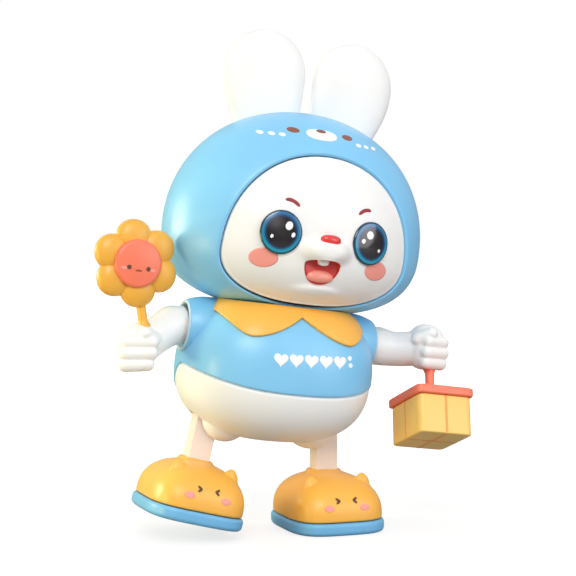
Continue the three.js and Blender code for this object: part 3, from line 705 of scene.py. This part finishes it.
def hem_at(y):
    """Height of the shirt's hem: it dips in front and falls low behind."""
    t = np.clip(y / HEM["flat_from"], 0, 1)
    behind = HEM["side"] - (HEM["side"] - HEM["back"]) * t * t * (3 - 2 * t)
    return np.where(y < 0, HEM["side"] - (HEM["side"] - HEM["front"]) * (y / TORSO["ry"]) ** 2, behind)


def hem_ring(a):
    """Height of the hem at each bearing a."""
    z = np.full(len(a), 64.0)
    for _ in range(12):
        z = hem_at(torso_ring(a, z)[:, 1])
    return z


def leg_slot(s, outer):
    """The cutter of the slot that a leg swings in."""
    low, high = sorted((s * LEG_SLOT["inner"], s * outer))
    deep = LEG_SLOT["half_deep"]
    return prism(low, high, HIP.y - deep, HIP.y + deep, LEG_SLOT["low"], LEG_SLOT["high"])


def build_body():
    a = angles(176)
    hem = hem_ring(a)
    proud, wall, top = SHIRT["proud"], SHIRT["wall"], SHIRT["top"]
    roll = 0.6
    rows = [torso_ring(a, hem + 0.1, -wall)]
    for t in np.linspace(0, math.pi / 2, 7):
        rows.append(torso_ring(a, hem + 0.1 + roll * (1 - math.cos(t)), proud - roll * (1 - math.sin(t))))
    for s in np.linspace(0, 1, 40)[1:]:
        z = hem + 0.1 + roll + (top - hem - 0.1 - roll) * s
        rows.append(torso_ring(a, z, proud))
    for s in np.linspace(1, 0, 24):
        rows.append(torso_ring(a, hem + 0.1 + (top - hem - 0.1) * s, -wall))
    verts, faces = sheet(rows)
    shirt = piece("shirt", verts, faces, FIGURE, "torso", [BLUE], ("shirt_shell",), "blue_plastic")
    half = DOOR["half"] + GAP
    cut(shirt, prism(-half, half, 12, 60, DOOR["low"] - GAP, DOOR["high"] + GAP), FIGURE)
    rows = []
    bottom = TORSO["z"] - TORSO["down"]
    for s in np.sin(np.linspace(math.pi / 2, 0, 30)[1:]):
        rows.append(torso_ring(a, hem + 1.6 + (bottom + BELLY_WALL - hem - 1.6) * s, -BELLY_WALL))
    lip = ((1.6, -1.0), (-0.1, -0.9), (-0.5, -0.6), (-0.8, -0.15))
    rows += [torso_ring(a, hem + up, by) for up, by in lip]
    for s in np.sin(np.linspace(0, math.pi / 2, 44)[:-1]):
        z = hem - 1.1 + (bottom - hem + 1.1) * s
        rows.append(torso_ring(a, z))
    verts, faces = sheet(rows, True, True)
    verts[-1] = np.array([0, 0, bottom])
    belly = piece("belly", verts, faces, FIGURE, "torso", [WHITE], ("belly_shell",), "white_plastic")
    for s in (1, -1):
        cut(belly, leg_slot(s, LEG_SLOT["outer"]), FIGURE)
    cut(belly, prism(*SWITCH_SLOT), FIGURE)


def build_door():
    """The battery door in the shirt's back, with the well and the boss of its screw."""
    x = np.linspace(-DOOR["half"], DOOR["half"], 60)
    wall = SHIRT["wall"]

    def loop(z, outer, inner):
        skin = [(c, torso_y(c, z, outer), z) for c in x]
        return skin + [(c, torso_y(c, z, inner), z) for c in x[::-1]]

    heights = np.linspace(DOOR["low"], DOOR["high"], 40)
    rows = [loop(heights[0], -wall / 2, -wall / 2)]
    rows += [loop(z, 0, -wall) for z in heights]
    rows.append(loop(heights[-1], -wall / 2, -wall / 2))
    door = piece("door", *sheet(rows), FIGURE, "door", [BLUE], ("battery_door",), "blue_plastic")
    screw = Matrix.Translation((0, 0, DOOR["screw_z"] * MM))
    axis = FIGURE @ screw @ Matrix.Rotation(-math.pi / 2, 4, "X")
    cut(door, lathe([(0, 30.3), (2.7, 30.3), (2.7, 50), (0, 50)], 40), axis)
    boss = [(1.5, 28.5), (4, 28.5), (4, 34.8), (2.7, 34.8), (2.7, 30.3), (1.5, 30.3), (1.5, 28.5)]
    piece("door_boss", *lathe(boss, 40), axis, "door", [BLUE], (), "blue_plastic")


def lobe_low(x):
    """Height of the collar's lower edge."""
    d = abs(x) - COLLAR["lobe"]
    t = np.minimum(abs(d) / np.where(d < 0, COLLAR["inner"], COLLAR["outer"]), 1)
    return COLLAR["high"] - (COLLAR["high"] - COLLAR["low"]) * (1 - t ** COLLAR["bend"])


def build_collar():
    a = np.linspace(-math.pi, 0, 161)
    z = np.full(len(a), 88.0)
    for _ in range(30):
        z = 0.6 * z + 0.4 * lobe_low(torso_ring(a, z, 1.5)[:, 0])
    z = np.minimum(z, 96.5)
    rows = [torso_ring(a, z + 0.9, 0.3)]
    for t in np.linspace(0, math.pi / 2, 9):
        rows.append(torso_ring(a, z + 1.1 * (1 - math.cos(t)), 0.4 + 1.4 * math.sin(t)))
    top = np.maximum(z + 1.4, 97.2)
    for s in np.linspace(0, 1, 14)[1:]:
        rows.append(torso_ring(a, z + 1.1 + (top - z - 1.1) * s, 1.8 + 0.9 * math.sin(s * math.pi / 2)))
    verts, faces = sheet(rows, wrap=False)
    piece("collar_front", verts, faces, FIGURE, "torso", [ORANGE], ("collar",), "orange_plastic")
    a = np.linspace(0, math.pi, 121)
    section = [(92, 0.3), (91.2, 0.8), (91, 1.6), (91.3, 2.3), (92, 2.7), (94, 2.8), (96, 2.8), (97.6, 2.8)]
    rows = [torso_ring(a, np.full(len(a), height), by) for height, by in section]
    verts, faces = sheet(rows, wrap=False)
    piece("collar_back", verts, faces, FIGURE, "torso", [ORANGE], (), "orange_plastic")


def heart(x, z, size):
    t = angles(44)
    across = 16 * np.sin(t) ** 3
    up = 13 * np.cos(t) - 5 * np.cos(2 * t) - 2 * np.cos(3 * t) - np.cos(4 * t)
    return np.stack([x + size * across / 32, z + size * up / 32], axis=1)


def build_motif():
    """A row of hearts and two dots printed on the shirt."""

    def skin(x, z):
        return torso_y(x, z, SHIRT["proud"])

    on = (skin, FIGURE, "torso", PRINT_AND_HIGHLIGHT_WHITE)
    for i in range(5):
        x = -9.8 + 6.7 * i
        sprite(f"motif_heart_{i + 1}", heart(x, 75.4 + 0.05 * x, 6.2), *on)
    sprite("motif_dot_1", oval(22.0, 78.2, 1.1, 1.0), *on)
    sprite("motif_dot_2", oval(22.6, 75.2, 1.1, 1.0), *on)


# ---- sleeves, arms and hands ----
SHOULDER_Z = 84.0


def build_sleeves():
    outside = [(13.2, 30), (13.2, 33), (13.1, 35.5), (12.7, 38), (12.1, 40.2), (11.6, 41.6), (11.3, 42.4)]
    edge = [(11.0, 43.0), (10.6, 43.4), (10.1, 43.5), (9.7, 43.2), (9.45, 42.6), (9.4, 41.5), (9.4, 36)]
    profile = outside + edge
    shoulder = FIGURE @ Matrix.Translation((0, 0, SHOULDER_Z * MM))
    for s, side in SIDES:
        place = shoulder @ Matrix.Rotation(s * math.pi / 2, 4, "Y")
        verts, faces = lathe(profile, 96)
        slots = [1 if k // 96 >= len(outside) else 0 for k in range(len(faces))]
        name = "sleeve_" + side
        piece(name, verts, faces, place, "torso", [BLUE, SLEEVE_EDGE], (name,), "blue_plastic", slots)


def capsule(p, q, r0, r1, n=20):
    """A round-ended finger between two points."""
    p, q = Vector(p), Vector(q)
    along = (q - p).normalized()
    side = along.orthogonal().normalized()
    other = along.cross(side)
    rows = []
    length = (q - p).length
    for t in np.linspace(-math.pi / 2 + 0.1, 0, 7):
        rows.append((-r0 * abs(math.sin(t)), r0 * math.cos(t)))
    for t in np.linspace(0, math.pi / 2 - 0.1, 7):
        rows.append((length + r1 * math.sin(t), r1 * math.cos(t)))
    rings = []
    for h, r in rows:
        centre = p + along * h
        spokes = [side * (r * math.cos(a)) + other * (r * math.sin(a)) for a in angles(n)]
        rings.append([tuple(centre + spoke) for spoke in spokes])
    return sheet(rings, True, True)


def build_arms():
    fx, fy, fz = -64.5, -10, 73
    parts = [
        tube(
            [(-42.9, 0, 84), (-48, -0.4, 83.4), (-55.4, -4.6, 78.6), (-62, -8.6, 73.4)],
            [8.2, 8.6, 7.7, 7.4],
        ),
        blob(8.2, 8.4, 10.2, 10.3, 2.3, x=fx + 0.4, y=fy + 0.8, z=fz, around=48, rows=32),
        capsule((fx - 5.6, fy - 4.6, fz - 7.6), (fx + 3.6, fy - 6.2, fz - 6.4), 3.1, 2.9),
        capsule((fx - 6.0, fy - 5.0, fz - 2.9), (fx + 4.2, fy - 7.0, fz - 1.7), 3.1, 2.9),
        capsule((fx - 5.8, fy - 4.8, fz + 1.9), (fx + 4.2, fy - 6.8, fz + 3.0), 3.0, 2.9),
        capsule((fx + 6.4, fy - 2.0, fz + 4.4), (fx + 1.0, fy - 6.6, fz + 6.2), 3.1, 2.8),
    ]
    melted("arm_right", parts, FIGURE, "right_arm", [WHITE], 0.42, 3, ("arm_right",), "white_plastic")
    fx, fy, fz = 66.5, -12, 86
    parts = [
        tube([(42.9, 0, 84), (48, -0.4, 84), (55.4, -4, 83.6), (63, -9, 85)], [8.2, 8.6, 7.7, 7.8]),
        blob(8.4, 8.4, 10.2, 10.2, 2.3, x=fx - 0.3, y=fy + 0.8, z=fz, around=48, rows=32),
        capsule((fx + 5.6, fy - 3.6, fz - 6.6), (fx - 2.6, fy - 6.4, fz - 6.6), 3.1, 2.8),
        capsule((fx + 6.0, fy - 3.8, fz - 2.0), (fx - 2.8, fy - 6.9, fz - 2.0), 3.1, 2.9),
        capsule((fx + 5.6, fy - 3.6, fz + 2.7), (fx - 2.6, fy - 6.7, fz + 2.8), 3.0, 2.8),
        capsule((fx - 6.2, fy - 3.4, fz + 3.2), (fx - 1.4, fy - 6.2, fz + 6.4), 3.0, 2.9),
    ]
    melted("arm_left", parts, FIGURE, "left_arm", [WHITE], 0.42, 3, ("arm_left",), "white_plastic")


FLOWER = Vector((-70, -12, 107.6))
STEM_FOOT = Vector((-58.8, -11.5, 66))


def build_flower():
    parts = []
    for degrees in (101, 41, -19, -79, -139, 161):
        a = math.radians(degrees)
        x, z = FLOWER.x + 10.8 * math.cos(a), FLOWER.z + 10.8 * math.sin(a)
        parts.append(blob(7.6, 4.1, 7.6, 7.6, 2.1, x=x, y=FLOWER.y, z=z, around=56, rows=36))
    parts.append(blob(9, 3.4, 9, 9, 2, x=FLOWER.x, y=FLOWER.y + 0.4, z=FLOWER.z))
    for i, p in enumerate(parts[:6]):
        stands_for = ("flower_wand",) if i == 0 else ()
        piece(f"petal_{i + 1}", *p, FIGURE, "right_arm", [PETAL], stands_for, "orange_plastic")
    piece("flower_back", *parts[6], FIGURE, "right_arm", [PETAL], (), "orange_plastic")
    top = FLOWER + Vector((2.4, 1.5, -9))
    way = (top - STEM_FOOT).normalized()
    tilt = way.to_track_quat("Z", "Y").to_matrix().to_4x4()
    turned_to = FIGURE @ Matrix.Translation(STEM_FOOT * MM) @ tilt
    high = (top - STEM_FOOT).length + 1
    collar = 15.6
    profile = [(0, 0), (2, 0), (2, collar - 1.6), (2.4, collar)]
    profile += [(2.8, collar + 1.0), (2.6, collar + 1.9), (2.1, collar + 2.7)]
    profile += [(2.0, collar + 4), (2.0, high - 6), (2.3, high - 3), (3.1, high), (0, high)]
    piece("flower_stem", *lathe(profile, 48), turned_to, "right_arm", [PETAL], (), "orange_plastic")
    seat = FIGURE @ Matrix.Translation(Vector((FLOWER.x, FLOWER.y - 2.2, FLOWER.z)) * MM)
    face = seat @ Matrix.Rotation(math.pi / 2, 4, "X")
    r = 10.0
    profile = [(0, 0.2), (r, 0.2), (r, 2.2)]
    for t in np.linspace(0.2, math.pi / 2, 7):
        profile.append((r - 1.7 * (1 - math.cos(t)), 2.2 + 1.5 * math.sin(t)))
    profile += [(k * (r - 1.7), 3.7 + 0.8 * (1 - k * k)) for k in np.linspace(0.9, 0, 12)]
    piece("flower_disc", *lathe(profile, 96), face, "right_arm", [CORAL], ("flower_disc",), "coral_plastic")

    def dome(x, z):
        return 3.7 + 0.8 * (1 - (x * x + z * z) / (r - 1.7) ** 2)

    for s in (1, -1):
        side = "left" if s > 0 else "right"
        sprite("flower_eye_" + side, oval(s * 4.1, -1.9, 0.95, 0.95), dome, seat, "right_arm", PRINT_DARK)
        sprite("flower_blush_" + side, oval(s * 6.1, -2.4, 1.3, 0.6), dome, seat, "right_arm", CHEEK)
    smile = [(-1.3 + 2.6 * u, -2.6 - 0.55 * abs(math.sin(u * 2 * math.pi))) for u in np.linspace(0, 1, 21)]
    ribbon_patch("flower_smile", smile, 0.42, dome, seat, "right_arm", PRINT_DARK)


BOX = dict(w=24.8, d=30.0, h=16.8, lid=3.6, drop=21.8, tilt=19.5)
BOX_HOOK = Vector((67.5, -12, 86))


def build_gift():
    hook = Matrix.Translation(BOX_HOOK * MM) @ Matrix.Rotation(-math.radians(BOX["tilt"]), 4, "X")
    place = FIGURE @ hook
    top = -BOX["drop"]
    base = top - BOX["lid"]
    rod = [(0, 1), (2, 1), (2, -7.2), (2.5, -8.4), (3.0, -9.6), (2.6, -10.8), (2.1, -12), (2, -14)]
    rod += [(2.0, top + 4), (2.5, top + 2.2), (3.6, top + 0.7), (4.6, top + 0.1), (0, top)]
    piece("gift_rod", *lathe(rod, 48), place, "left_arm", [CORAL], (), "coral_plastic")
    lid = rounded_box(BOX["w"] + 2.4, BOX["d"] + 2.4, base, top + 0.2, 0.7, 14)
    piece("gift_lid", *lid, place, "left_arm", [CORAL], ("gift_lid",), "coral_plastic")
    low = base - GAP - BOX["h"]
    body = rounded_box(BOX["w"], BOX["d"], low, base - GAP + 0.2, 0.7, 14)
    piece("gift_box", *body, place, "left_arm", [YELLOW], ("gift_box",), "yellow_plastic")
    w, d = BOX["w"] / 2, BOX["d"] / 2
    bands = {
        "front": prism(-0.55, 0.55, -d - 0.14, -d + 1, low + 0.5, base - GAP),
        "rear": prism(-0.55, 0.55, d - 1, d + 0.14, low + 0.5, base - GAP),
        "side_left": prism(w - 1, w + 0.14, -0.55, 0.55, low + 0.5, base - GAP),
        "side_right": prism(-w - 0.14, -w + 1, -0.55, 0.55, low + 0.5, base - GAP),
        "under_across": prism(-w + 0.5, w - 0.5, -0.55, 0.55, low - 0.14, low + 1),
        "under_along": prism(-0.55, 0.55, -d + 0.5, d - 0.5, low - 0.14, low + 1),
    }
    for where, mesh in bands.items():
        ob = piece("ribbon_" + where, *mesh, place, "left_arm", [RIBBON], (), "yellow_plastic")
        soften(ob, 0.1)


def soften(ob, width, segments=3, angle=30):
    bevel = ob.modifiers.new("edge", "BEVEL")
    bevel.width = width * MM
    bevel.segments = segments
    bevel.limit_method = "ANGLE"
    bevel.angle_limit = math.radians(angle)
    bevel.harden_normals = True


# ---- hips, legs and shoes ----
SHOE = dict(half=21.6, deep=25.8, y=-4.0, sole=5.4, top=24.6, power=3.6)
LEG = dict(w=9.6, d=9.0, length=60.0)


def shoe_y(x, z):
    """Distance of the shoe's front from the hip pin's plane, in the leg's frame."""
    bottom = -LEG["length"]
    mid = bottom + SHOE["sole"] + GAP + 2
    up = SHOE["top"] - SHOE["sole"] - GAP - 2
    level = np.clip(1 - (abs(np.maximum(z - mid, 0)) / up) ** 2.25, 0, None) ** (1 / 2.25)
    e = level ** SHOE["power"] - (abs(x) / (SHOE["half"] - 0.8)) ** SHOE["power"]
    return (SHOE["deep"] - 0.9) * np.clip(e, 0, None) ** (1 / SHOE["power"]) - SHOE["y"]


def build_legs():
    for s, side in SIDES:
        body = side + "_leg"
        cover = blob(10.6, 12.4, 12, 10.4, 2.2, x=s * 20.4, z=46.2, around=64, rows=40)
        name = "hip_cover_" + side
        hip = piece(name, *cover, FIGURE, "torso", [WHITE], (name,), "white_plastic")
        cut(hip, leg_slot(s, 36.0), FIGURE)
        place = leg_frame(s)
        bottom = -LEG["length"]
        mid = bottom + SHOE["sole"] + GAP + 2
        up = SHOE["top"] - SHOE["sole"] - GAP - 2
        half, deep = SHOE["half"] - 0.8, SHOE["deep"] - 0.9
        upper = blob(half, deep, up, 2.2, 2.25, SHOE["power"], 12, y=SHOE["y"], z=mid, around=96, rows=56)
        parts = [upper]
        for e in (1, -1):
            rows = []
            for k in np.linspace(0, 1, 16):
                w = 4.4 * (1 - k**1.9) ** 0.62 + 0.05
                thick = 2.3 * (1 - k**2.2) ** 0.6 + 0.05
                z = bottom + 17.5 + 7.4 * k
                rows.append(ring(w, thick, z, 2, 28, e * (11.0 + 0.9 * k), -16.2 + 0.6 * k))
            parts.append(sheet(rows, True, True))
        cuff = ((8.2, 7.7, 19), (7.7, 7.2, 22.6), (7.3, 6.8, 24.4), (6.5, 6.0, 25.3))
        rows = [ring(w, d, bottom + z, 3.4, 64) for w, d, z in cuff]
        parts.append(sheet(rows, True, True))
        melted("shoe_" + side, parts, place, body, [ORANGE], 0.5, 4, ("shoe_" + side,), "orange_plastic")
        roll = 1.9
        edge = [
            (roll * (1 - math.sin(t)), roll * (1 - math.cos(t))) for t in np.linspace(0, math.pi / 2, 9)
        ]
        edge += [
            (1.2 * (1 - math.sin(t)), SHOE["sole"] - 1.5 * (1 - math.cos(t)))
            for t in np.linspace(math.pi / 2, 0, 9)
        ]
        rows = []
        for inset, z in edge:
            half, deep = SHOE["half"] - inset, SHOE["deep"] - inset
            rows.append(ring(half, deep, bottom + z, SHOE["power"], 128, 0, SHOE["y"]))
        name = "sole_" + side
        sole = piece(name, *sheet(rows, True, True), place, body, [SOLE], (name,), "sole_plastic")
        well = lathe([(0, -3), (3, -3), (3, 2.6), (0, 2.6)], 32)
        cut(sole, well, place @ Matrix.Translation((0, 0, bottom * MM)))
        for e in (1, -1):
            eye = [(e * 4.9, bottom + 16.0), (e * 3.2, bottom + 14.9), (e * 4.7, bottom + 13.7)]
            first, bend, last = np.array(eye)
            line = [(1 - u) * first + u * bend for u in np.linspace(0, 1, 6)]
            line += [(1 - u) * bend + u * last for u in np.linspace(0.1, 1, 6)]
            tag = f"{side}_{'a' if e > 0 else 'b'}"
            ribbon_patch("shoe_eye_" + tag, line, 0.95, shoe_y, place, body, PRINT_DARK, 0.2)
            blush = oval(e * 8.1, bottom + 11.9, 2.2, 1.35)
            sprite("shoe_blush_" + tag, blush, shoe_y, place, body, BLUSH, 0.15)


# ---- materials of the pieces that stay as CAD ----
STAY = {
    "neck_tube": GREY, "speaker": CONE, "arm_stop": GREY, "chassis_plate": GREY, "hip_pin": STEEL,
    "gear_case": GREY, "motor": STEEL, "cam_shaft": WHITE, "circuit_board": BOARD, "battery_tray": GREY,
    "cell": CELL, "contact": STEEL,
    "switch_body": GREY, "switch_knob": KNOB, "leg": LEG_WHITE,
}


def dress_cad():
    for name, ob in frame["nodes"].items():
        if "screw" in name:
            m = STEEL
        else:
            m = next((v for k, v in STAY.items() if name.startswith(k)), WHITE)
        ob.data.materials.clear()
        ob.data.materials.append(m)
        if name.startswith("leg_"):
            soften(ob, 0.9, 4)


# ---- stage, light and camera ----
AZIMUTH = -20
DISTANCE = 0.70
AIM = (2.6, 0, 105)
CAMERA_Z = 0.128


def add_camera():
    data = bpy.data.cameras.new("camera")
    data.lens = 100
    data.sensor_width = 36
    cam = bpy.data.objects.new("camera", data)
    bpy.context.scene.collection.objects.link(cam)
    aim = fig(*AIM)
    a = math.radians(AZIMUTH)
    cam.location = Vector((aim.x + DISTANCE * math.sin(a), aim.y - DISTANCE * math.cos(a), CAMERA_Z))
    cam.rotation_euler = (aim - cam.location).to_track_quat("-Z", "Y").to_euler()
    bpy.context.scene.camera = cam


def softbox(name, azimuth, height, distance, size, power, colour=(1, 1, 1), aim_z=0.1):
    data = bpy.data.lights.new(name, "AREA")
    data.shape = "DISK"
    data.size = size
    data.energy = power
    data.color = colour
    ob = bpy.data.objects.new(name, data)
    bpy.context.scene.collection.objects.link(ob)
    a = math.radians(azimuth)
    ob.location = (distance * math.sin(a), -distance * math.cos(a), height)
    ob.rotation_euler = (Vector((0, 0, aim_z)) - ob.location).to_track_quat("-Z", "Y").to_euler()


def add_stage():
    me = bpy.data.meshes.new("floor")
    me.from_pydata([(-4, -4, 0), (4, -4, 0), (4, 4, 0), (-4, 4, 0)], [], [(0, 1, 2, 3)])
    floor = bpy.data.objects.new("floor", me)
    bpy.context.scene.collection.objects.link(floor)
    m, nodes, links, bsdf = shader("floor")
    where = nodes.new("ShaderNodeTexCoord").outputs["Object"]
    tones = [(0, (0.28, 0.28, 0.28, 1)), (1, (0.32, 0.32, 0.32, 1))]
    links.new(ramp(nodes, links, noise(nodes, links, where, 3), tones), bsdf.inputs["Base Color"])
    bsdf.inputs["Roughness"].default_value = 0.7
    bsdf.inputs["Emission Color"].default_value = (1, 1, 1, 1)
    far = nodes.new("ShaderNodeVectorMath")
    far.operation = "LENGTH"
    links.new(where, far.inputs[0])
    shown = nodes.new("ShaderNodeMath")
    shown.operation = "MULTIPLY"
    links.new(remap(nodes, links, far.outputs["Value"], 0.1, 0.5, 0.72, 1.1), shown.inputs[0])
    links.new(nodes.new("ShaderNodeLightPath").outputs["Is Camera Ray"], shown.inputs[1])
    links.new(shown.outputs[0], bsdf.inputs["Emission Strength"])
    me.materials.append(m)
    world = bpy.data.worlds.new("world")
    bpy.context.scene.world = world
    world.use_nodes = True
    nodes, links = world.node_tree.nodes, world.node_tree.links
    seen, glow = nodes["Background"], nodes.new("ShaderNodeBackground")
    seen.inputs[0].default_value = (1, 1, 1, 1)
    glow.inputs[0].default_value = (0.96, 0.97, 1.0, 1)
    split = nodes.new("ShaderNodeSeparateXYZ")
    links.new(nodes.new("ShaderNodeTexCoord").outputs["Generated"], split.inputs[0])
    links.new(remap(nodes, links, split.outputs["Z"], -0.3, 1, 0.12, 0.8), glow.inputs[1])
    pick = nodes.new("ShaderNodeMixShader")
    links.new(nodes.new("ShaderNodeLightPath").outputs["Is Camera Ray"], pick.inputs[0])
    links.new(glow.outputs[0], pick.inputs[1])
    links.new(seen.outputs[0], pick.inputs[2])
    links.new(pick.outputs[0], nodes["World Output"].inputs[0])
    softbox("key", -24, 0.74, 1.0, 0.6, 6.0)
    softbox("fill", 34, 0.36, 1.1, 0.8, 4.1)
    softbox("rim", -118, 0.2, 0.55, 0.22, 1.7, (1.0, 0.96, 0.66))
    softbox("kick", -80, 0.07, 0.4, 0.12, 0.38, (1.0, 0.86, 0.3), 0.03)
    bpy.context.scene.view_settings.view_transform = "Standard"


build_hood()
build_face()
build_eyes()
build_face_details()
build_hood_print()
build_ears()
build_body()
build_door()
build_collar()
build_motif()
build_sleeves()
build_arms()
build_flower()
build_gift()
build_legs()
dress_cad()
add_stage()
add_camera()
